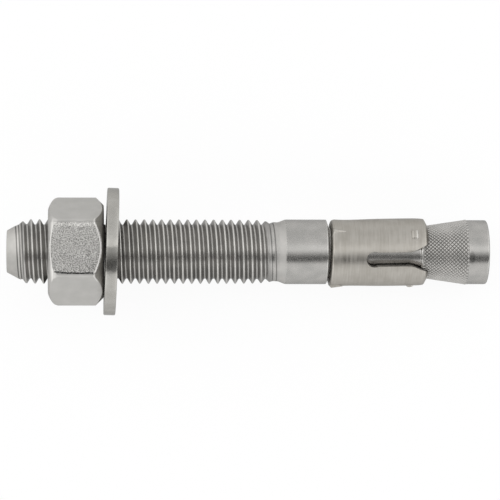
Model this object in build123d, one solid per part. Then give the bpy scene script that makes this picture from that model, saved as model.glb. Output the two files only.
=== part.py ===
from build123d import *
import os
from math import cos, radians, tan

# A 3/4 in x 5-1/2 in stainless wedge anchor, in four pieces: the stud, the expansion clip round its
# neck, the washer and the hex nut. The stud's axis is X and the origin is the centre of the threaded
# end's face. Stations are measured from there towards the cone, in millimetres, and angles about the
# axis from +Z towards +Y. The stud is turned to the crests of its 3/4-10 thread, whose grooves are
# not cut here, and the nut is bored to slide over those crests.

inch = 25.4
pitch = inch / 10

# stud
stud_length = 140.6
tip_radius = 6.1
tip_edge = 0.3
tip_cone_angle = 28.6
crest_radius = 9.42
thread_end = 74.3
runout_end = thread_end + 1.4 * pitch
rolled_radius = 8.65
rolled_end = 78.35
shank_start = 81.2
shank_radius = 9.48
shank_end = 93.2
shoulder_end = 94.05
shoulder_edge = 0.25
neck_radius = 7.0
cone_start = 120.7
cone_start_radius = 7.45
cone_angle = 8.35
land_radius = 9.43
land_edge = 0.5

# expansion clip, its closed end towards the shank and its fingers towards the cone
clip_start = 94.1
clip_slant = 2.4
clip_bore_radius = 7.4
clip_bore_edge = 0.4
clip_bore_end = 113.0
clip_rim_end = 94.6
clip_rim_radius = 9.3
clip_rim_angle = 39
sleeve_radius = 9.73
finger_start = 109.0
finger_radius = 9.89
finger_taper_start = 119.5
finger_tip = 121.98
finger_tip_radius = 9.66
clip_end = 122.92
clip_mouth_radius = 7.98
clip_lean = 0.85
clip_shift = 0.1
cutter_reach = 12.0
cutter_overrun = 1.0
slot_angles = (-12.7, 107.3, 227.3)
slot_width = 4.2
bulb_radius = 2.35
bulb_station = 106.75
flare_start = 117.7
flare_end = 122.0
flare_width = 7.9
seam_angle = slot_angles[2]
seam_width = 0.8
nub_angles = (31.5, 151.5, 271.5)
nub_station = 118.4
nub_length = 2.1
nub_sweep = 19.0
nub_height = 0.45
nub_root = 0.4
spur_angles = (41.3, 161.3, 281.3)
spur_start = 93.85
spur_end = 98.35
spur_rake = 38
spur_base = 2.0
spur_root_radius = 9.1
spur_foot_depth = 0.05
spur_height = 0.74

# washer, hanging a little askew between the nut and the run of the thread
washer_outer_radius = 18.6
washer_hole_radius = 10.3
washer_thickness = 3.45
washer_edge = 0.35
washer_station = 30.41
washer_lift = 0.8
washer_shift = 0.0
washer_lean = 1.75
washer_turn = 5.0

# hex nut, one flat towards +Z and turned a little towards +Y
nut_station = 12.0
nut_thickness = 16.2
nut_across_flats = 27.85
nut_corner_radius = 1.65
nut_turn = 4.2
nut_bore_radius = crest_radius + 0.06
nut_countersink = 0.7
outer_chamfer_radius = 12.5
outer_chamfer_angle = 30
bearing_chamfer_radius = 13.5
bearing_chamfer_angle = 45


def turned(outline):
    """A solid turned about X from a closed half outline of (station, radius) points."""
    return revolve(make_face(Polyline(*outline, close=True)), Axis.X)


def about_axis(angle):
    """Carries a feature modelled at +Z to an angle about X, measured from +Z towards +Y."""
    return Rot(-angle, 0, 0)


def circles_at(solid, station, radius):
    """The solid's round edges of one radius about X at one station."""
    round_edges = solid.edges().filter_by(GeomType.CIRCLE)
    return [edge for edge in round_edges
            if abs(edge.arc_center.X - station) < 1e-3 and abs(edge.radius - radius) < 1e-3]


def make_stud():
    """The anchor body in one piece: coned tip, thread, rolled run-out, shank, neck, expansion cone."""
    tip_cone_end = (crest_radius - tip_radius) / tan(radians(tip_cone_angle))
    land_start = cone_start + (land_radius - cone_start_radius) / tan(radians(cone_angle))
    stud = turned([
        (0, 0),
        (0, tip_radius),
        (tip_cone_end, crest_radius),
        (thread_end, crest_radius),
        (runout_end, rolled_radius),
        (rolled_end, rolled_radius),
        (shank_start, shank_radius),
        (shank_end, shank_radius),
        (shoulder_end, neck_radius),
        (cone_start, neck_radius),
        (cone_start, cone_start_radius),
        (land_start, land_radius),
        (stud_length, land_radius),
        (stud_length, 0),
    ])
    stud = chamfer(circles_at(stud, 0, tip_radius), tip_edge)
    stud = chamfer(circles_at(stud, shank_end, shank_radius), shoulder_edge)
    return chamfer(circles_at(stud, stud_length, land_radius), land_edge)


def slanted(shape):
    """Turns what belongs to the clip's closed end askew about that end's centre."""
    return shape.rotate(Axis((clip_start, 0, 0), (0, 0, 1)), -clip_slant)


def clip_blank():
    """The clip's sleeve before its slots: a wall that eases outwards over the start of the cone."""
    before_start = clip_start - cutter_overrun
    past_end = clip_end + cutter_overrun
    bore_edge_radius = clip_bore_radius + clip_bore_edge
    rim_run = (cutter_reach - clip_rim_radius) * tan(radians(clip_rim_angle))
    sleeve = turned([
        (before_start, clip_bore_radius),
        (before_start, sleeve_radius),
        (finger_start, finger_radius),
        (finger_taper_start, finger_radius),
        (finger_tip, finger_tip_radius),
        (clip_end, clip_mouth_radius),
        (clip_bore_end, clip_bore_radius),
    ])
    closed_end = turned([
        (clip_start + bore_edge_radius, 0),
        (clip_start, bore_edge_radius),
        (clip_rim_end, clip_rim_radius),
        (clip_rim_end + rim_run, cutter_reach),
        (past_end, cutter_reach),
        (past_end, 0),
    ])
    return sleeve & slanted(closed_end)


def slot_cutter():
    """One slot at +Z: a round relief hole, a straight slot and a flare between two fingers."""
    past_end = clip_end + cutter_overrun
    straight_length = past_end - bulb_station
    straight = Pos(bulb_station + straight_length / 2, 0) * Rectangle(straight_length, slot_width)
    bulb = Pos(bulb_station, 0) * Circle(bulb_radius)
    widening = (flare_width - slot_width) / 2 / (flare_end - flare_start)
    flare_half = slot_width / 2 + widening * (past_end - flare_start)
    flare = make_face(Polyline(
        (flare_start, slot_width / 2),
        (past_end, flare_half),
        (past_end, -flare_half),
        (flare_start, -slot_width / 2),
        close=True,
    ))
    return extrude(straight + bulb + flare, cutter_reach)


def seam_cutter():
    """The gap at +Z where the two ends of the formed strip meet."""
    before_start = clip_start - cutter_overrun
    length = bulb_station - before_start
    seam = Pos(before_start + length / 2, 0) * Rectangle(length, seam_width)
    return extrude(seam, cutter_reach)


def nub():
    """A low bead at +Z, pressed out of a finger so that the clip grips the hole."""
    root_radius = finger_radius - nub_root
    crown_radius = finger_radius + nub_height
    bead = make_face(Polyline(
        (nub_station - nub_length / 2, root_radius),
        (nub_station - nub_length / 2, finger_radius),
        (nub_station - nub_length / 5, crown_radius),
        (nub_station + nub_length / 5, crown_radius),
        (nub_station + nub_length / 2, finger_radius),
        (nub_station + nub_length / 2, root_radius),
        close=True,
    ))
    start = Rot(90 + nub_sweep / 2, 0, 0) * bead
    return revolve(start, Axis.X, revolution_arc=-nub_sweep)


def spur():
    """A pointed spur at +Z: the corner of the strip's end, raised, raking back and running out."""
    foot_radius = sleeve_radius - spur_foot_depth
    along_rake = 1 / cos(radians(spur_rake))
    foot = (foot_radius - spur_root_radius) * along_rake
    peak = (foot_radius + spur_height - spur_root_radius) * along_rake
    outline = Plane.YZ * make_face(Polyline(
        (-spur_base / 2, 0),
        (-spur_base / 2, foot),
        (0, peak),
        (spur_base / 2, foot),
        (spur_base / 2, 0),
        close=True,
    ))
    base = Pos(spur_start, 0, spur_root_radius) * Rot(0, spur_rake, 0) * outline
    return loft([base, Vertex(spur_end, 0, foot_radius)])


def make_clip():
    """The expansion clip: a strip rolled into a sleeve, slotted into three spreading fingers."""
    clip = clip_blank()
    for angle in slot_angles:
        clip -= about_axis(angle) * slot_cutter()
    clip -= about_axis(seam_angle) * seam_cutter()
    for angle in nub_angles:
        clip += about_axis(angle) * nub()
    for angle in spur_angles:
        clip += slanted(about_axis(angle) * spur())
    finger_end = Axis((clip_end, 0, 0), (0, 0, 1))
    return Pos(0, clip_shift, 0) * clip.rotate(finger_end, clip_lean)


def make_washer():
    """A plain punched washer, its outer edges broken, leaning with its top towards the cone."""
    half = washer_thickness / 2
    washer = turned([
        (-half, washer_hole_radius),
        (-half, washer_outer_radius),
        (half, washer_outer_radius),
        (half, washer_hole_radius),
    ])
    for face in (-half, half):
        washer = chamfer(circles_at(washer, face, washer_outer_radius), washer_edge)
    washer = Rot(0, 0, -washer_lean) * about_axis(washer_turn) * washer
    return Pos(washer_station, washer_shift, washer_lift) * washer


def hexagon_blank():
    """The hexagonal bar of the nut, its long corners rounded, standing along X with a flat at +Z."""
    corner_to_centre = nut_across_flats / 2 / cos(radians(30))
    hexagon = fillet(RegularPolygon(corner_to_centre, 6).vertices(), nut_corner_radius)
    return Plane.YZ.offset(nut_station) * extrude(hexagon, nut_thickness)


def make_nut():
    """The hex nut, chamfered on both ends, with a countersunk bore that clears the thread's crests."""
    end = nut_station + nut_thickness
    past_corners = nut_across_flats / 2 * 1.2
    outer_depth = (past_corners - outer_chamfer_radius) * tan(radians(outer_chamfer_angle))
    bearing_depth = (past_corners - bearing_chamfer_radius) * tan(radians(bearing_chamfer_angle))
    chamfered = turned([
        (nut_station, 0),
        (nut_station, outer_chamfer_radius),
        (nut_station + outer_depth, past_corners),
        (end - bearing_depth, past_corners),
        (end, bearing_chamfer_radius),
        (end, 0),
    ])
    sink = nut_countersink
    hole = turned([
        (nut_station, 0),
        (nut_station, nut_bore_radius + sink),
        (nut_station + sink, nut_bore_radius),
        (end - sink, nut_bore_radius),
        (end, nut_bore_radius + sink),
        (end, 0),
    ])
    return about_axis(nut_turn) * (hexagon_blank() & chamfered) - hole


os.makedirs("parts", exist_ok=True)
for name, solid in {
    "stud": make_stud(),
    "expansion_clip": make_clip(),
    "washer": make_washer(),
    "hex_nut": make_nut(),
}.items():
    export_step(solid, f"parts/{name}.step")
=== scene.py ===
import math

import bpy
from mathutils import Matrix, Vector


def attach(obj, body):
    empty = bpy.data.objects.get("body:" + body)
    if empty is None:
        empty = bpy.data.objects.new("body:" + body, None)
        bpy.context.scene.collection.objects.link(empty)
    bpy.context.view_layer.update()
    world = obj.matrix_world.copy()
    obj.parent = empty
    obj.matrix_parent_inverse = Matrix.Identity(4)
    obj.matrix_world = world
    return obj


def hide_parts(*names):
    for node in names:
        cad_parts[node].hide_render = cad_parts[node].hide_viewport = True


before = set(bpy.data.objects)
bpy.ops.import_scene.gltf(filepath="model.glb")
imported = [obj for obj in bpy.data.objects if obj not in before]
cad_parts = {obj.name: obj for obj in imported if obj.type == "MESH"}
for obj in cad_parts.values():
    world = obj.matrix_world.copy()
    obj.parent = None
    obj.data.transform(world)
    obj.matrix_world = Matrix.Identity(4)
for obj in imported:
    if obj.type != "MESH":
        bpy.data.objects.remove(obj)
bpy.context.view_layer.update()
mm = 0.001
pitch = 2.54
ringSteps = 96  # segments round the stud and the clip, two to each knurl diamond


# ---- small tools shared by the pieces ----

def leaveEdit():
    bpy.ops.object.mode_set(mode="OBJECT")


def deselectAll():
    if bpy.context.object and bpy.context.object.mode != "OBJECT":
        leaveEdit()
    for thing in bpy.context.selected_objects:
        thing.select_set(False)


def makeActive(thing):
    deselectAll()
    thing.select_set(True)
    bpy.context.view_layer.objects.active = thing


def startPiece(name):
    piece = bpy.context.object
    piece.name = name
    piece.data.name = name
    return piece


def discard(thing):
    makeActive(thing)
    bpy.ops.object.delete()


def settle(thing):  # bakes a piece's place, turn and size into its mesh
    makeActive(thing)
    bpy.ops.object.transform_apply(location=True, rotation=True, scale=True)


def editAll(thing):
    makeActive(thing)
    bpy.ops.object.mode_set(mode="EDIT")
    bpy.ops.mesh.select_all(action="SELECT")


def pick(thing, kinds, mode, wanted):  # selects what passes the test, and leaves edit mode on
    makeActive(thing)
    bpy.context.tool_settings.mesh_select_mode = mode
    bpy.ops.object.mode_set(mode="EDIT")
    bpy.ops.mesh.select_all(action="DESELECT")
    leaveEdit()
    for element in getattr(thing.data, kinds):
        element.select = wanted(element)
    bpy.ops.object.mode_set(mode="EDIT")


def pickWhere(thing, wanted):  # vertices, by their places
    pick(thing, "vertices", (True, False, False), lambda vert: wanted(vert.co))


def pickFaces(thing, wanted):
    pick(thing, "polygons", (False, False, True), wanted)


def everywhere(co):
    return True


def nudge(thing, wanted, x=0.0, y=0.0, z=0.0):  # moves the picked vertices, in mm
    pickWhere(thing, wanted)
    bpy.ops.transform.translate(value=(x * mm, y * mm, z * mm))
    leaveEdit()


def swing(thing, wanted, degrees, axis, station):  # turns them about a point on the stud's axis
    pickWhere(thing, wanted)
    bpy.ops.transform.rotate(value=math.radians(degrees), orient_axis=axis,
                             center_override=(station * mm, 0, 0))
    leaveEdit()


def drawOutline(name, points, flat=False):  # a line of vertices drawn point by point in mm, in XZ or in XY
    def place(x, r):
        return (x * mm, r * mm, 0) if flat else (x * mm, 0, r * mm)
    deselectAll()
    bpy.context.tool_settings.mesh_select_mode = (True, False, False)
    bpy.ops.mesh.primitive_plane_add(size=mm)
    line = startPiece(name)
    editAll(line)
    bpy.ops.mesh.merge(type="CENTER")
    bpy.ops.transform.translate(value=place(*points[0]))
    for (x0, r0), (x1, r1) in zip(points, points[1:]):
        bpy.ops.mesh.extrude_vertices_move(TRANSFORM_OT_translate={"value": place(x1 - x0, r1 - r0)})
    leaveEdit()
    return line


def applyAll(thing):
    makeActive(thing)
    for modifier in list(thing.modifiers):
        bpy.ops.object.modifier_apply(modifier=modifier.name)


def mergeClose(thing, reach=2e-6):
    editAll(thing)
    bpy.ops.mesh.remove_doubles(threshold=reach)
    bpy.ops.mesh.select_all(action="SELECT")
    bpy.ops.mesh.normals_make_consistent(inside=False)
    leaveEdit()


def sweepRound(line, turns=1, advance=0.0, steps=ringSteps):  # about X, climbing advance mm a turn
    turn = line.modifiers.new("Turn", "SCREW")
    turn.axis = "X"
    turn.angle = math.tau
    turn.screw_offset = advance * mm
    turn.iterations = turns
    turn.steps = turn.render_steps = steps
    applyAll(line)
    mergeClose(line)


def joinPieces(first, *others):
    makeActive(first)
    for other in others:
        other.select_set(True)
    bpy.ops.object.join()
    mergeClose(first)


def drawPlate(name, points, thickness):  # a closed outline in XY, filled and raised
    plate = drawOutline(name, points, flat=True)
    editAll(plate)
    bpy.ops.mesh.edge_face_add()
    bpy.ops.mesh.extrude_region_move(TRANSFORM_OT_translate={"value": (0, 0, thickness * mm)})
    leaveEdit()
    mergeClose(plate)
    return plate


def turnTo(thing, degrees):  # carries a piece modelled at +Z round the axis, towards +Y
    thing.rotation_euler = (-math.radians(degrees), 0, 0)
    settle(thing)


def copyTo(thing, degrees):
    makeActive(thing)
    bpy.ops.object.duplicate()
    copy = bpy.context.object
    turnTo(copy, degrees)
    return copy


def combine(thing, tool, operation="DIFFERENCE"):
    cut = thing.modifiers.new("Combine", "BOOLEAN")
    cut.operation = operation
    cut.solver = "EXACT"
    cut.object = tool
    applyAll(thing)
    discard(tool)


def softenEdges(thing, width, segments, angle):
    bevel = thing.modifiers.new("Soften", "BEVEL")
    bevel.width = width * mm
    bevel.segments = segments
    bevel.limit_method = "ANGLE"
    bevel.angle_limit = math.radians(angle)
    applyAll(thing)
    mergeClose(thing)


def shadeRound(thing, angle):
    makeActive(thing)
    bpy.ops.object.shade_smooth_by_angle(angle=math.radians(angle))


def takePlace(piece, body, node):
    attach(piece, body)
    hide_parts(node)
    print(node, len(piece.data.polygons), "faces")


# ---- the thread, shared by the stud and the nut ----

thread = {
    "crestRadius": 9.42,
    "pitchRadius": 8.595,
    "rootRadius": 7.86,
    "crestRound": 0.17,  # how far below the crest the flank starts to round over
    "rootRound": 0.17,
    "flankAngle": 30,
    "crestStation": 7.635,  # a crest on the +Z side
}


def onePitch(start, grow):  # the thread's outline over one pitch, root to root
    crest = thread["crestRadius"] + grow
    root = thread["rootRadius"] + grow
    slope = math.tan(math.radians(thread["flankAngle"]))
    half = pitch / 2
    shoulder = crest - thread["crestRound"]
    foot = root + thread["rootRound"]
    toShoulder = pitch / 4 - (shoulder - grow - thread["pitchRadius"]) * slope
    toFoot = pitch / 4 + (thread["pitchRadius"] - foot + grow) * slope
    rootHalf = half - toFoot
    side = [
        (0, root),
        (rootHalf * 0.36, root + thread["rootRound"] * 0.06),
        (rootHalf * 0.68, root + thread["rootRound"] * 0.32),
        (rootHalf, foot),
        (half - toShoulder, shoulder),
        (half - toShoulder * 0.66, crest - thread["crestRound"] * 0.3),
        (half - toShoulder * 0.28, crest),
    ]
    return [(start + x, r) for x, r in side] + [(start + pitch - x, r) for x, r in reversed(side)]


def threadedBar(name, begin, end, reshape, grow=0.0):  # an open helical bar from one flat ring to another
    turnsBefore = math.ceil((thread["crestStation"] - begin) / pitch) + 2
    start = thread["crestStation"] - pitch / 2 - turnsBefore * pitch
    turns = math.ceil((end - start) / pitch) + 2
    bar = drawOutline(name, onePitch(start, grow))
    sweepRound(bar, turns, pitch)
    for edge, wanted in ((begin, lambda co: co.x < begin * mm), (end, lambda co: co.x > end * mm)):
        pickWhere(bar, wanted)
        bpy.ops.transform.resize(value=(0, 1, 1), center_override=(edge * mm, 0, 0))
        leaveEdit()
    for vert in bar.data.vertices:
        radius = vert.co.yz.length
        wish = reshape(vert.co.x / mm, radius / mm) * mm
        vert.co.yz = vert.co.yz * (wish / radius)
    mergeClose(bar)
    return bar


def fade(x, stops):  # straight lines between (station, value) stops
    for (x0, v0), (x1, v1) in zip(stops, stops[1:]):
        if x <= x1:
            return v0 + (v1 - v0) * max(0.0, (x - x0) / (x1 - x0))
    return stops[-1][1]


# ---- stud ----

stud = {
    "tipRadius": 6.1,
    "tipSlope": 0.5417,
    "tipOutline": [
        (0.3, 6.26251), (0.17, 6.17), (0.06, 6.05), (0.0, 5.86), (0.0, 5.2), (0.0, 3.4), (0.0, 1.6),
        (0.0, 0.0),
    ],
    "tipBurr": [(3.8, 0.0), (4.7, 0.22), (5.3, 0.2), (6.0, 0.0)],
    "tipGroove": [(2.4, 0.0), (3.2, 0.13), (4.3, 0.16), (5.2, 0.35), (6.4, 0.3), (7.0, 0.0)],
    "barStart": 0.3,
    "barEnd": 78.9,
    "rolledRadius": 8.65,
    "relief": [  # the share of the crests' height above the rolled radius that is left, by station
        (54.0, 1.0), (68.0, 0.95), (73.6, 0.86), (74.6, 0.62), (75.4, 0.4), (76.8, 0.26), (77.5, 0.07),
        (78.5, 0.05), (78.8, 0.0),
    ],
    "rootRelief": [  # and of the roots' depth below it
        (0.0, 0.7), (4.5, 0.7), (7.5, 1.0), (68.0, 0.95), (73.6, 0.87), (75.5, 0.85), (76.7, 0.45),
        (77.4, 0.14), (78.6, 0.0),
    ],
    "shankOutline": [
        (78.9, 8.65), (79.2, 8.69), (79.6, 8.82), (80.5, 9.18), (80.9, 9.33), (81.2, 9.415), (81.5, 9.465),
        (81.9, 9.48), (85.0, 9.48), (89.0, 9.48), (93.05, 9.48), (93.2, 9.455), (93.3, 9.38), (93.37, 9.22),
        (93.98, 7.16), (94.05, 7.05), (94.2, 7.0), (100.0, 7.0), (108.0, 7.0), (116.0, 7.0), (120.5, 7.0),
        (120.62, 7.02), (120.7, 7.1), (120.7, 7.35), (120.76, 7.44), (120.86, 7.475),
    ],
    "coneStart": 120.7,
    "coneStartRadius": 7.45,
    "landStart": 134.1,
    "landRadius": 9.43,
    "landOutline": [
        (135.0, 9.43), (137.0, 9.43), (139.98, 9.43), (140.2, 9.4), (140.39, 9.29), (140.53, 9.11),
        (140.6, 8.9), (140.6, 7.4), (140.6, 5.0), (140.6, 2.5), (140.6, 0.0),
    ],
    "knurlStart": 121.2,
    "knurlEnd": 134.7,
    "knurlRows": 24,
    "knurlFloor": 7.3,  # every knurled face lies outside this radius
    "grooveDepth": 0.15,
    "diamondRim": 0.155,
    "diamondRise": 0.18,
    "diamondPeak": 0.02,
}
coneSlope = (stud["landRadius"] - stud["coneStartRadius"]) / (stud["landStart"] - stud["coneStart"])
knurlRow = (stud["knurlEnd"] - stud["knurlStart"]) / stud["knurlRows"]
rows = [stud["knurlStart"] + i * knurlRow for i in range(stud["knurlRows"] + 1)]


def studSurface(x, r):  # the thread runs out over the last turns, and starts as a groove on the tip's cone
    relief = fade(x, stud["relief"] if r > stud["rolledRadius"] else stud["rootRelief"])
    depth = (thread["crestRadius"] - r) / (thread["crestRadius"] - thread["rootRadius"])
    r = stud["rolledRadius"] + (r - stud["rolledRadius"]) * relief
    burr = (1 - depth) * fade(x, stud["tipBurr"])
    return min(r, stud["tipRadius"] + x * stud["tipSlope"] + burr - depth * fade(x, stud["tipGroove"]))


def coneRadius(x):
    return min(stud["coneStartRadius"] + (x - stud["coneStart"]) * coneSlope, stud["landRadius"])


def rowIndex(x):
    return (x / mm - stud["knurlStart"]) / knurlRow


def inKnurl(spot, low, high):  # between two rows, counted from the knurl's two ends
    return low < rowIndex(spot.x) < stud["knurlRows"] + high and spot.yz.length > stud["knurlFloor"] * mm


def onKnurl(co):
    return inKnurl(co, 0.5, -0.5)


def isCrossing(co):  # the places where two grooves cross
    return (round(math.atan2(co.y, co.z) / math.tau * ringSteps) + round(rowIndex(co.x))) % 2 == 0


def pressKnurl(part):  # grooves cross at every other corner, and the corners between them become diamonds
    for vert in part.data.vertices:
        if onKnurl(vert.co) and isCrossing(vert.co):
            vert.co.yz = vert.co.yz * (1 - stud["grooveDepth"] * mm / vert.co.yz.length)
    corners = part.data.vertices
    for crossingFirst, method in ((True, "FIXED"), (False, "FIXED_ALTERNATE")):  # split along the grooves
        pickFaces(part, lambda face: len(face.vertices) == 4
                  and any(onKnurl(corners[i].co) for i in face.vertices)
                  and isCrossing(corners[face.vertices[0]].co) == crossingFirst)
        bpy.ops.mesh.quads_convert_to_tris(quad_method=method)
        leaveEdit()
    pickWhere(part, lambda co: onKnurl(co) and not isCrossing(co))
    bpy.ops.mesh.dissolve_verts()
    pickFaces(part, lambda face: len(face.vertices) == 4 and inKnurl(face.center, 0.7, -0.7))
    bpy.ops.mesh.inset(thickness=stud["diamondRim"] * mm, depth=stud["diamondRise"] * mm, use_individual=True)
    bpy.ops.mesh.poke(offset=stud["diamondPeak"] * mm)
    leaveEdit()


studBody = threadedBar("stud_body", stud["barStart"], stud["barEnd"], studSurface)
print("thread", len(studBody.data.polygons), "faces")
tipPart = drawOutline("tipPart", stud["tipOutline"])
sweepRound(tipPart)
coneOutline = [(x, coneRadius(x)) for x in rows]
bodyPart = drawOutline("bodyPart", stud["shankOutline"] + coneOutline + stud["landOutline"])
sweepRound(bodyPart)
pressKnurl(bodyPart)
print("cone and shank", len(bodyPart.data.polygons), "faces")
joinPieces(studBody, tipPart, bodyPart)
shadeRound(studBody, 33)
for face in studBody.data.polygons:
    if inKnurl(face.center, -0.4, 0.1):
        face.use_smooth = False
takePlace(studBody, "stud", "stud")


# ---- washer ----

washer = {
    "outerRadius": 18.597,
    "holeRadius": 10.3,
    "thickness": 3.45,
    "place": (30.41, 0.0, 0.8),
    "lean": 1.75,
    "steps": 120,
}
half, outer, hole = washer["thickness"] / 2, washer["outerRadius"], washer["holeRadius"]
washerPart = drawOutline("washer_ring", [
    (-half, hole + 0.12), (-half, outer - 4), (-half, outer - 0.42), (-half + 0.05, outer - 0.2),
    (-half + 0.16, outer - 0.07), (-half + 0.34, outer), (half - 0.34, outer), (half - 0.16, outer - 0.07),
    (half - 0.05, outer - 0.2), (half, outer - 0.42), (half, outer - 4), (half, hole + 0.12),
    (half - 0.12, hole), (-half + 0.12, hole), (-half, hole + 0.12),
])
sweepRound(washerPart, steps=washer["steps"])
washerPart.rotation_euler = (0, 0, -math.radians(washer["lean"]))
washerPart.location = [value * mm for value in washer["place"]]
settle(washerPart)
shadeRound(washerPart, 35)
takePlace(washerPart, "washer", "washer")


# ---- nut ----

nut = {
    "start": 12.0,
    "end": 28.2,
    "acrossFlats": 27.85,
    "cornerRound": 0.95,
    "turn": 4.2,
    "chamferTilt": 1.7,
    "chamferSteps": 120,
    "edge": 0.22,
    "clearance": 0.08,
    "minorRadius": 8.25,
    "sinkRadius": 10.15,
    "sinkDepth": 1.0,
}
start, end = nut["start"], nut["end"]
nutMiddle = (start + end) / 2
bpy.ops.mesh.primitive_cylinder_add(
    vertices=6, radius=nut["acrossFlats"] / 2 / math.cos(math.pi / 6) * mm, depth=(end - start) * mm,
    location=(nutMiddle * mm, 0, 0), rotation=(0, math.pi / 2, 0))
nutPart = startPiece("nut_body")
settle(nutPart)
corners = nutPart.data.vertices
pick(nutPart, "edges", (False, True, False),
     lambda edge: abs(corners[edge.vertices[0]].co.x - corners[edge.vertices[1]].co.x) > 5 * mm)
bpy.ops.mesh.bevel(offset=nut["cornerRound"] * mm, segments=5, affect="EDGES")
leaveEdit()
turnTo(nutPart, nut["turn"])

blank = drawOutline("blank", [
    (start - 0.4, 0), (start - 0.4, 11.6), (start, 12.05), (start + 0.08, 12.53), (start + 0.31, 13.16),
    (start + 0.6, 13.74), (start + 0.89, 14.25), (start + 1.18, 14.69), (start + 1.48, 15.05),
    (start + 1.77, 15.32), (start + 2.1, 15.52), (start + 2.6, 15.71), (start + 3.2, 15.9),
    (start + 4.0, 16.2), (end - 3.6, 16.4), (end - 2.3, 15.78), (end - 0.5, 14.0), (end - 0.12, 13.6),
    (end, 13.35), (end + 0.4, 12.7), (end + 0.4, 0),
])
sweepRound(blank, steps=nut["chamferSteps"])
swing(blank, everywhere, nut["chamferTilt"], "Y", nutMiddle)  # the chamfers aren't quite square to the flats
combine(nutPart, blank, "INTERSECT")
softenEdges(nutPart, nut["edge"], 3, 22)


def tapSurface(x, r):  # the thread in the nut, opened by a countersink at each end
    sink = nut["sinkRadius"] - min(abs(x - start), abs(x - end), nut["sinkDepth"])
    if x < start or x > end:
        sink = nut["sinkRadius"] + 0.3
    return max(r, nut["minorRadius"], sink)


tap = threadedBar("tap", start - 0.3, end + 0.3, tapSurface, nut["clearance"])
editAll(tap)
bpy.ops.mesh.fill_holes(sides=0)
leaveEdit()
mergeClose(tap)
combine(nutPart, tap)
shadeRound(nutPart, 30)
normals = nutPart.modifiers.new("Normals", "WEIGHTED_NORMAL")
normals.keep_sharp = True
applyAll(nutPart)
takePlace(nutPart, "nut", "hex_nut")


# ---- expansion clip ----

clip = {
    "sleeveOutline": [
        (94.45, 7.4), (94.25, 7.5), (94.13, 7.8), (94.16, 8.3), (94.27, 8.85), (94.4, 9.25), (94.58, 9.53),
        (94.8, 9.73), (95.1, 9.83), (95.8, 9.84), (96.6, 9.79), (98.0, 9.71), (100.0, 9.68), (103.0, 9.73),
        (106.0, 9.81), (109.0, 9.87), (112.0, 9.89), (116.0, 9.89), (119.0, 9.885), (120.6, 9.83),
        (121.5, 9.75), (121.82, 9.68), (121.98, 9.55), (122.15, 9.28), (122.5, 8.65), (122.8, 8.13),
        (122.86, 8.02), (122.8, 7.96), (122.5, 7.94), (119.5, 7.78), (116.0, 7.58), (113.0, 7.41),
        (109.0, 7.4), (104.0, 7.4), (99.0, 7.4), (94.45, 7.4),
    ],
    "start": 94.1,
    "slant": 2.4,
    "fingerBend": 0.9,
    "bendStation": 121.4,
    "slotAngles": (-12.7, 107.3, 227.3),
    "bulbStation": 106.75,
    "bulbRadius": 2.35,
    "bulbSteps": 18,
    "slotHalf": 2.1,
    "flare": [
        (117.2, 2.1), (117.7, 2.14), (118.2, 2.32), (120.0, 3.1), (121.6, 3.79), (122.2, 4.08), (122.6, 4.4),
        (122.9, 4.95), (123.4, 6.2),
    ],
    "seamHalf": 0.4,
    "cutterReach": 12,
    "edge": 0.26,
    "nubs": ((31.5, 118.75), (151.5, 118.4), (271.5, 117.9)),
    "nubSize": (1.12, 0.7, 0.78),
    "nubCrown": 10.33,
    "nubStretch": 0.95,
    "spurAngles": (41.3, 161.3, 281.3),
    "spurLength": 4.5,
    "spurSize": (1, 2.38, 0.88),
    "spurPlace": (96.5, 0, 9.54),
    "spurRake": 0.75,
    "spurLift": 0.3,
    "lean": 0.85,
    "leanStation": 122.92,
    "shift": 0.1,
}


def slantEnd(thing, wanted):  # the closed end isn't cut square
    swing(thing, wanted, clip["slant"], "Z", clip["start"])


def slotOutline():  # a round relief hole, a straight slot and a flare
    bulb, reach = clip["bulbStation"], clip["bulbRadius"]
    meet = math.asin(clip["slotHalf"] / reach)
    sweep = math.tau - 2 * meet
    angles = [-meet - sweep * i / clip["bulbSteps"] for i in range(clip["bulbSteps"] + 1)]
    return ([(x, -y) for x, y in reversed(clip["flare"])]
            + [(bulb + reach * math.cos(angle), reach * math.sin(angle)) for angle in angles]
            + clip["flare"])


clipPart = drawOutline("clip_sleeve", clip["sleeveOutline"])
sweepRound(clipPart)
slantEnd(clipPart, lambda co: co.x < 95.5 * mm)
swing(clipPart, lambda co: co.x > clip["bendStation"] * mm, clip["fingerBend"], "Z", clip["bendStation"])

slotTool = drawPlate("slotTool", slotOutline(), clip["cutterReach"])
tools = [copyTo(slotTool, angle) for angle in clip["slotAngles"]]
discard(slotTool)
joinPieces(*tools)
combine(clipPart, tools[0])
seamHalf, seamEnd = clip["seamHalf"], clip["bulbStation"] - 1
seamTool = drawPlate("seamTool", [(93, -seamHalf), (seamEnd, -seamHalf), (seamEnd, seamHalf), (93, seamHalf)],
                     clip["cutterReach"])
turnTo(seamTool, clip["slotAngles"][2])
combine(clipPart, seamTool)
mergeClose(clipPart, 1e-5)
softenEdges(clipPart, clip["edge"], 3, 42)
print("slotted sleeve", len(clipPart.data.polygons), "faces")

bpy.ops.mesh.primitive_uv_sphere_add(segments=24, ring_count=14, radius=mm)
nub = startPiece("nub")
nub.scale = clip["nubSize"]
settle(nub)
for side in (-1, 1):  # pulled long round the girth
    nudge(nub, lambda co: co.y * side > 0.02 * mm, y=side * clip["nubStretch"])
nub.location.z = (clip["nubCrown"] - clip["nubSize"][2]) * mm
settle(nub)
for angle, station in clip["nubs"]:
    pressed = copyTo(nub, angle)
    pressed.location.x = station * mm
    settle(pressed)
    combine(clipPart, pressed, "UNION")
discard(nub)

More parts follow.
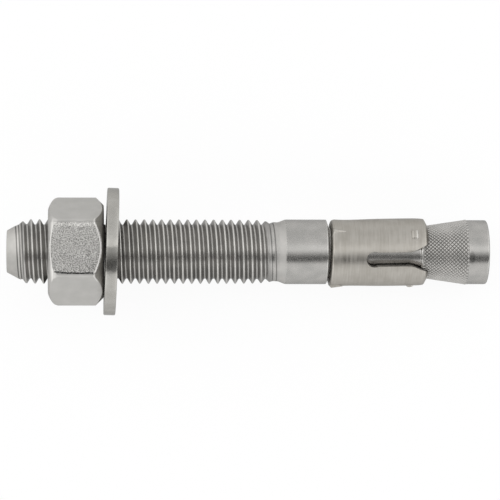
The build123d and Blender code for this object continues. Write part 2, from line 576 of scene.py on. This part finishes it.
bpy.ops.mesh.primitive_cone_add(vertices=3, radius1=mm, radius2=0, depth=clip["spurLength"] * mm,
                                rotation=(0, math.pi / 2, 0))
spur = startPiece("spur")
settle(spur)
spur.rotation_euler = (math.pi / 2, 0, 0)
settle(spur)
spur.scale = clip["spurSize"]
spur.location = [value * mm for value in clip["spurPlace"]]
settle(spur)
nudge(spur, lambda co: co.x < 95 * mm and co.z > 9.6 * mm, x=clip["spurRake"])  # its peak
nudge(spur, lambda co: co.x > 98 * mm, z=clip["spurLift"])  # its point
softenEdges(spur, 0.1, 2, 30)
for angle in clip["spurAngles"]:
    placed = copyTo(spur, angle)
    slantEnd(placed, everywhere)
    combine(clipPart, placed, "UNION")
discard(spur)
mergeClose(clipPart)

pivot = Vector((clip["leanStation"] * mm, 0, 0))
shift = Vector((0, clip["shift"] * mm, 0))
lean = Matrix.Rotation(math.radians(clip["lean"]), 4, "Z")
clipPart.matrix_world = Matrix.Translation(shift + pivot) @ lean @ Matrix.Translation(-pivot)
settle(clipPart)
shadeRound(clipPart, 30)
takePlace(clipPart, "clip", "expansion_clip")


# ---- materials ----

def put(tree, kind, inputs, **settings):
    node = tree.nodes.new("ShaderNode" + kind)
    for key, value in settings.items():
        setattr(node, key, value)
    for key, value in inputs.items():
        if isinstance(value, bpy.types.NodeSocket):
            tree.links.new(value, node.inputs[key])
        else:
            node.inputs[key].default_value = value
    return node


def emptyTree(owner):
    owner.use_nodes = True
    owner.node_tree.nodes.clear()
    return owner.node_tree


def reckon(tree, operation, a, b=0.0):
    return put(tree, "Math", {0: a, 1: b}, operation=operation).outputs[0]


def total(tree, first, *others):
    for other in others:
        first = reckon(tree, "ADD", first, other)
    return first


def product(tree, first, *others):
    for other in others:
        first = reckon(tree, "MULTIPLY", first, other)
    return first


def less(tree, a, b):
    return reckon(tree, "SUBTRACT", a, b)


def length(tree, a, b):
    return reckon(tree, "SQRT", total(tree, product(tree, a, a), product(tree, b, b)))


def noise(tree, place, scale, detail, **more):
    return put(tree, "TexNoise", {"Vector": place, "Scale": scale, "Detail": detail, **more}).outputs["Fac"]


def ease(tree, value, low, high, start=0.0, finish=1.0):  # a smooth step of a value between two levels
    stepped = put(tree, "MapRange", {"Value": value, "From Min": low, "From Max": high,
                                     "To Min": start, "To Max": finish}, interpolation_type="SMOOTHSTEP")
    return stepped.outputs["Result"]


def easeAt(tree, place, low, high, start=0.0, finish=1.0):  # the same between two places, in mm
    return ease(tree, place, low * mm, high * mm, start, finish)


def band(tree, place, rise, fall):  # one between two places, eased at both
    return product(tree, easeAt(tree, place, *rise), easeAt(tree, place, *fall))


def scaleColour(tree, colour, factor):
    grey = put(tree, "CombineColor", {0: factor, 1: factor, 2: factor}).outputs[0]
    mixed = put(tree, "Mix", {0: 1.0, 6: colour, 7: grey}, data_type="RGBA", blend_type="MULTIPLY",
                clamp_result=False)
    return mixed.outputs[2]


def steel(name, look, marks=None):
    material = bpy.data.materials.new(name)
    tree = emptyTree(material)
    place = put(tree, "TexCoord", {}).outputs["Object"]
    blotch = noise(tree, place, look["blotchScale"], 3.0)
    stretched = put(tree, "Mapping", {"Vector": place, "Scale": look["grainStretch"]}).outputs["Vector"]
    grain = noise(tree, stretched, look["grainScale"], 4.0)
    share = look["grainShare"]
    both = total(tree, product(tree, blotch, 1 - share), product(tree, grain, share))
    tone = put(tree, "Mix", {0: ease(tree, both, 0.3, 0.7), 6: (*look["dark"], 1), 7: (*look["light"], 1)},
               data_type="RGBA").outputs[2]
    height = grain
    rough = ease(tree, grain, 0.3, 0.7, *look["rough"])
    if marks:
        tone, height, rough = marks(tree, place, tone, height, rough)
    bump = put(tree, "Bump", {"Strength": look["bump"], "Distance": 0.02 * mm, "Height": height})
    shader = put(tree, "BsdfPrincipled", {
        "Base Color": tone, "Metallic": 1.0, "Roughness": rough, "Normal": bump.outputs["Normal"],
        "Specular Tint": (look["edge"], look["edge"], look["edge"], 1),
    })
    put(tree, "OutputMaterial", {"Surface": shader.outputs["BSDF"]})
    return material


def dress(piece, *materials):
    piece.data.materials.clear()
    for material in materials:
        piece.data.materials.append(material)
    for face in piece.data.polygons:
        face.material_index = 0


# In the marks, places are in mm, and a tone's share is added to the plain steel's 1.

studTracesAndLandPatch = {
    "traces": [  # station, half width and share of the thread's faint first and last turns
        (3.1, 0.28, -0.75), (3.5, 0.3, 0.16), (3.92, 0.28, -0.66), (4.36, 0.3, 0.16), (4.76, 0.34, -0.6),
        (76.95, 0.26, -0.52), (78.1, 0.26, -0.6),
    ],
    "landPatchStation": 135.35,
    "landPatchSide": -1.6,
    "landPatchLength": 0.85,
    "landPatchWidth": 1.75,
}


def studMarks(tree, place, tone, height, rough):
    x, y, z = put(tree, "SeparateXYZ", {0: place}).outputs
    radius = length(tree, y, z)

    tip = easeAt(tree, x, 6.0, 4.5)
    # painted highlight on the tip's end: lighter near y = 2.3 mm, darker further from it
    offHighlightMiddle = reckon(tree, "ABSOLUTE", less(tree, y, 2.3 * mm))
    tipPaintedHighlight = product(tree, easeAt(tree, offHighlightMiddle, 6.0, 0.0, -0.14, 0.16), easeAt(tree, x, 4.4, 3.2))

    onThread = easeAt(tree, x, 77.5, 76.5)
    # painted highlight: the crests are painted lighter; the flanks are darker, the roots a little lighter,
    # and the -Y side darker from x = 31 mm on
    crest = easeAt(tree, radius, 9.12, 9.32, 0.0, 0.5)
    root = easeAt(tree, radius, 8.2, 8.0, 0.0, 0.24)
    lowSide = product(tree, easeAt(tree, y, -3.2, -5.5, 0.0, -0.1), easeAt(tree, x, 28, 31))
    threadHighlightAndTone = product(tree, onThread, total(tree, crest, root, -0.17, lowSide))

    climb = product(tree, reckon(tree, "ARCTAN2", y, z), pitch / math.tau * mm)
    station = total(tree, x, climb)  # the same all along the helix
    lines = []
    for middle, halfWidth, share in studTracesAndLandPatch["traces"]:
        away = reckon(tree, "ABSOLUTE", less(tree, station, middle * mm))
        lines.append(easeAt(tree, away, halfWidth, halfWidth * 0.4, 0.0, share))
    offThread = reckon(tree, "MAXIMUM", easeAt(tree, x, 5.2, 4.9), easeAt(tree, x, 76.4, 76.6))
    traces = product(tree, total(tree, *lines), offThread)

    rolled = band(tree, x, (77.4, 78.2), (81.25, 80.95))
    # painted highlight: a bright line on the shank's rounded edge
    shankEdgeHighlight = band(tree, x, (92.95, 93.1), (93.4, 93.3))
    # painted light: the shoulder face, shaded in the gap under the clip, is painted much lighter
    shoulder = product(tree, band(tree, x, (93.35, 93.5), (94.8, 94.3)), 1.4)
    # painted highlight: a bright ring at the step where the cone begins
    coneStepHighlight = band(tree, x, (120.3, 120.5), (121.15, 121.0))

    # painted shade: the knurl's grooves are painted darker, and the knurl as a whole a little lighter
    knurled = band(tree, x, (120.9, 121.2), (134.7, 134.5))
    coneAtOrigin = stud["coneStartRadius"] - stud["coneStart"] * coneSlope
    cone = total(tree, product(tree, x, coneSlope), coneAtOrigin * mm)
    knurlGrooveShade = easeAt(tree, less(tree, cone, radius), 0.0, 0.14, 0.0, -0.42)

    # a darker patch at the land's left end, on the half facing +Z
    landPatchX = product(tree, less(tree, x, studTracesAndLandPatch["landPatchStation"] * mm), 1 / (studTracesAndLandPatch["landPatchLength"] * mm))
    landPatchY = product(tree, less(tree, y, studTracesAndLandPatch["landPatchSide"] * mm), 1 / (studTracesAndLandPatch["landPatchWidth"] * mm))
    landPatchShape = ease(tree, length(tree, landPatchX, landPatchY), 1.3, 0.6, 0.0, -0.35)
    darkLandPatch = product(tree, landPatchShape, easeAt(tree, z, 0, 1))

    factor = total(
        tree, 1.0, product(tree, tip, 0.2), tipPaintedHighlight, threadHighlightAndTone, traces, product(tree, rolled, 0.16),
        product(tree, shankEdgeHighlight, 0.22), shoulder, product(tree, coneStepHighlight, 0.6),
        product(tree, knurled, total(tree, knurlGrooveShade, 0.15)), darkLandPatch)
    matt = reckon(tree, "MAXIMUM", rolled, easeAt(tree, x, 5.2, 4.2))
    rough = total(
        tree, rough, product(tree, onThread, 0.1), product(tree, matt, 0.26), product(tree, shoulder, 0.25),
        product(tree, knurled, 0.2))
    return scaleColour(tree, tone, factor), height, rough


def nutMarks(tree, place, tone, height, rough):  # the upper flat is pebbled and rough-topped, with painted highlights on its chamfer arcs and above its foot, and a painted shadow under the burr at its foot
    x, y, z = put(tree, "SeparateXYZ", {0: place}).outputs
    radius = length(tree, y, z)
    turned = math.radians(nut["turn"])
    away = put(tree, "VectorMath", {0: place, 1: (0.0, math.sin(turned), math.cos(turned))},
               operation="DOT_PRODUCT").outputs["Value"]
    flatPlace = nut["acrossFlats"] / 2
    onFlat = easeAt(tree, away, flatPlace - 0.12, flatPlace - 0.04)
    pebble = noise(tree, place, 3600.0, 2.0, Roughness=0.6)
    sway = product(tree, less(tree, noise(tree, place, 420.0, 2.0), 0.5), 1.1 * mm)
    wave = product(tree, less(tree, noise(tree, place, 170.0, 1.0), 0.5), 1.3 * mm)

    lie = product(tree, z, math.tan(math.radians(nut["chamferTilt"])))
    # painted highlight: light arcs where the two chamfers meet the upper flat
    outerCone = less(tree, less(tree, x, start * mm), product(tree, less(tree, radius, 12.2 * mm), 0.5))
    innerCone = less(tree, less(tree, end * mm, x), less(tree, radius, 13.45 * mm))
    outerArcHighlight = band(tree, total(tree, outerCone, lie), (0.0, 0.12), (0.5, 0.32))
    innerArcHighlight = band(tree, less(tree, innerCone, lie), (-0.05, 0.08), (0.42, 0.25))
    chamferArcHighlight = product(tree, reckon(tree, "MAXIMUM", outerArcHighlight, innerArcHighlight), easeAt(tree, z, 11.5, 12.5))

    rimPlace = total(tree, y, sway)
    onTop = easeAt(tree, z, 11, 12)
    rim = product(tree, band(tree, rimPlace, (7.2, 7.5), (8.55, 8.35)), onTop,
                  band(tree, x, (13.6, 14.2), (26.3, 25.6)))
    lip = product(tree, band(tree, rimPlace, (8.35, 8.6), (9.05, 8.8)), onTop)

    burrPlace = total(tree, y, wave, product(tree, sway, 0.4))
    # painted highlight: a light band just above the flat's foot
    shine = product(tree, band(tree, burrPlace, (-5.3, -5.6), (-6.0, -5.9)), onFlat)
    # painted shadow: a dark wavy line under the burr at the flat's foot
    burr = product(tree, band(tree, burrPlace, (-5.95, -6.1), (-6.5, -6.3)), easeAt(tree, z, 13, 13.5),
                   band(tree, x, (13.5, 14.2), (25.6, 24.6)))

    speckle = ease(tree, pebble, 0.32, 0.68, -0.42, 0.34)
    fall = easeAt(tree, y, 7, -7, 0.0, -0.1)
    pebbled = product(tree, onFlat, less(tree, 1.0, chamferArcHighlight))
    factor = total(
        tree, 0.97, product(tree, pebbled, total(tree, speckle, fall, -0.19)),
        product(tree, rim, total(tree, product(tree, speckle, 0.4), 0.22)), product(tree, lip, -0.12),
        product(tree, chamferArcHighlight, 0.34), product(tree, shine, total(tree, product(tree, speckle, 0.3), 0.08)),
        product(tree, burr, -0.6))
    pits = product(tree, pebble, 4.0, reckon(tree, "MAXIMUM", pebbled, rim))
    return scaleColour(tree, tone, factor), total(tree, height, pits), rough


def clipMarks(tree, place, tone, height, rough):  # the rolled edge of the closed end is dark
    x, y = put(tree, "SeparateXYZ", {0: place}).outputs[:2]
    askew = math.tan(math.radians(clip["slant"] - clip["lean"]))
    station = less(tree, x, product(tree, y, askew))
    rolledEdge = band(tree, station, (94.0, 94.1), (94.75, 94.6))
    factor = total(tree, 1.0, product(tree, rolledEdge, -0.45))
    return scaleColour(tree, tone, factor), height, rough


def washerMarks(tree, place, tone, height, rough):  # a painted dark reflection across the rim, with a faint painted glint above it
    y, z = put(tree, "SeparateXYZ", {0: place}).outputs[1:]
    wobble = product(tree, less(tree, noise(tree, place, 900.0, 3.0), 0.5), 2.2 * mm)
    edge = total(tree, y, wobble)
    # painted reflection: a dark band across the rim
    paintedDarkReflection = product(tree, band(tree, edge, (1.9, 0.9), (-6.4, -5.2)), easeAt(tree, z, 17.5, 18))
    glint = band(tree, edge, (1.7, 2.5), (5.2, 3.2))
    factor = total(tree, 1.0, product(tree, glint, 0.03), product(tree, paintedDarkReflection, -0.42))
    return scaleColour(tree, tone, factor), height, rough


studLook = {
    "dark": (0.365, 0.36, 0.345),
    "light": (0.45, 0.438, 0.42),
    "edge": 0.6,
    "blotchScale": 260.0,
    "grainScale": 3200.0,
    "grainStretch": (1, 1, 1),
    "grainShare": 0.4,
    "rough": (0.2, 0.32),
    "bump": 0.35,
}
washerLook = dict(studLook, dark=(0.37, 0.36, 0.335), light=(0.45, 0.44, 0.415), rough=(0.22, 0.32))
nutLook = dict(studLook, dark=(0.49, 0.483, 0.462), light=(0.54, 0.53, 0.51), rough=(0.36, 0.46),
               grainShare=0.25)
clipLook = dict(studLook, dark=(0.355, 0.335, 0.30), light=(0.455, 0.435, 0.40), rough=(0.3, 0.42),
                grainScale=2600.0, grainStretch=(1, 0.06, 0.06), grainShare=0.6)
cutLook = dict(studLook, dark=(0.33, 0.31, 0.29), light=(0.43, 0.41, 0.385), rough=(0.4, 0.55))
# paler steel: for the spurs, and as a painted highlight on the nubs' flanks that face +X
paleSpurAndNubHighlightLook = dict(clipLook, dark=(0.5, 0.485, 0.455), light=(0.62, 0.6, 0.57))
dress(studBody, steel("studSteel", studLook, studMarks))
dress(washerPart, steel("washerSteel", washerLook, washerMarks))
dress(nutPart, steel("nutSteel", nutLook, nutMarks))
dress(clipPart, steel("clipSteel", clipLook, clipMarks), steel("clipCutSteel", cutLook),
      steel("clipPaleAndHighlightSteel", paleSpurAndNubHighlightLook))
cutSteel, paleAndHighlightSteel = 1, 2
sleeveAxis = Vector((clip["shift"] - 0.4, 0)) * mm  # where the leaning clip's axis runs at its closed end
for face in clipPart.data.polygons:
    spot, facing = face.center, face.normal
    outward = Vector((0, spot.y, spot.z)).normalized()
    onCut = abs(facing.dot(outward)) < 0.5 and abs(facing.x) < 0.97 and 95 < spot.x / mm < 121.6
    onSpur = spot.x < 99 * mm and (spot.yz - sleeveAxis).length > 9.9 * mm
    # painted highlight: the nubs' flanks facing +X take the paler steel
    onNubHighlightFlank = spot.x > 116 * mm and spot.yz.length > 9.94 * mm and facing.x > 0.3
    if onSpur or onNubHighlightFlank:
        face.material_index = paleAndHighlightSteel
    elif onCut:
        face.material_index = cutSteel
print("materials ready")


# ---- floor, light and camera ----

floorRest = {"washerStation": 31.8, "washerDrop": 17.8, "landStation": 140.15, "landDrop": 9.43, "gap": 0.03}
bpy.ops.mesh.primitive_plane_add(
    size=8, location=(floorRest["washerStation"] * mm, 0, -(floorRest["washerDrop"] + floorRest["gap"]) * mm))
floor = startPiece("floor")
floor.rotation_euler = (0, -math.atan2(floorRest["washerDrop"] - floorRest["landDrop"],
                                       floorRest["landStation"] - floorRest["washerStation"]), 0)
floorPaint = bpy.data.materials.new("palePaper")
tree = emptyTree(floorPaint)
rays = put(tree, "LightPath", {}).outputs
seen = reckon(tree, "MAXIMUM", rays["Is Camera Ray"], rays["Is Glossy Ray"])
seen = reckon(tree, "MAXIMUM", seen, rays["Is Transmission Ray"])
paper = put(tree, "BsdfDiffuse", {"Color": (0.95, 0.95, 0.95, 1)})
glow = put(tree, "Emission", {"Color": (1, 1, 1, 1), "Strength": 1.0})
glowShare = product(tree, seen, 0.92)  # the rest of the paper still takes the shadow
mixed = put(tree, "MixShader", {0: glowShare, 1: paper.outputs[0], 2: glow.outputs[0]})
put(tree, "OutputMaterial", {"Surface": mixed.outputs[0]})
floor.data.materials.append(floorPaint)

skyLevels = [  # degrees from straight above, towards +Y, and the level there
    (-180, 1.0), (-95, 1.0), (-50, 1.1), (-41, 1.1), (-34, 0.13), (-17, 0.13), (-5, 0.75),
    (5, 1.3), (20, 1.3), (27, 0.95), (70, 0.9), (95, 0.95), (180, 1.0),
]
world = bpy.data.worlds.new("softStudio")
bpy.context.scene.world = world
tree = emptyTree(world)
way = put(tree, "TexCoord", {}).outputs["Generated"]
wayX, wayY, wayZ = put(tree, "SeparateXYZ", {0: way}).outputs
turn = put(tree, "MapRange", {"Value": reckon(tree, "ARCTAN2", wayY, wayZ),
                              "From Min": -math.pi, "From Max": math.pi}).outputs["Result"]
ramp = put(tree, "ValToRGB", {"Fac": turn})
stops = ramp.color_ramp.elements
stops[0].position, stops[1].position = 0, 1
while len(stops) < len(skyLevels):
    stops.new(0.5)
for stop, (degrees, level) in zip(stops, skyLevels):
    stop.position = (degrees + 180) / 360
    stop.color = (level, level, level, 1)
towardsEnds = ease(tree, reckon(tree, "ABSOLUTE", wayX), 0.2, 0.55, 1.0, 1.5)
sky = put(tree, "Background", {"Color": ramp.outputs["Color"], "Strength": towardsEnds})
white = put(tree, "Background", {"Color": (1, 1, 1, 1)})
inCamera = put(tree, "LightPath", {}).outputs["Is Camera Ray"]
mixed = put(tree, "MixShader", {0: inCamera, 1: sky.outputs[0], 2: white.outputs[0]})
put(tree, "OutputWorld", {"Surface": mixed.outputs[0]})

view = {
    "target": (71.04, 0.52, 0.0),
    "distance": 836.0,
    "yaw": 3.57,
    "roll": 0.10,
    "lens": 205.4,
    "sensor": 36.0,
}
yaw, roll = math.radians(view["yaw"]), math.radians(view["roll"])
back = Vector((-math.sin(yaw), 0, math.cos(yaw)))
level = Vector((math.cos(yaw), 0, math.sin(yaw)))
upright = Vector((0, 1, 0))
right = level * math.cos(roll) + upright * math.sin(roll)
up = upright * math.cos(roll) - level * math.sin(roll)
place = Vector(view["target"]) * mm + back * view["distance"] * mm
cameraData = bpy.data.cameras.new("camera")
cameraData.lens = view["lens"]
cameraData.sensor_width = view["sensor"]
camera = bpy.data.objects.new("camera", cameraData)
bpy.context.scene.collection.objects.link(camera)
camera.matrix_world = Matrix((
    (right.x, up.x, back.x, place.x),
    (right.y, up.y, back.y, place.y),
    (right.z, up.z, back.z, place.z),
    (0, 0, 0, 1),
))
bpy.context.scene.camera = camera
bpy.context.scene.view_settings.view_transform = "Standard"
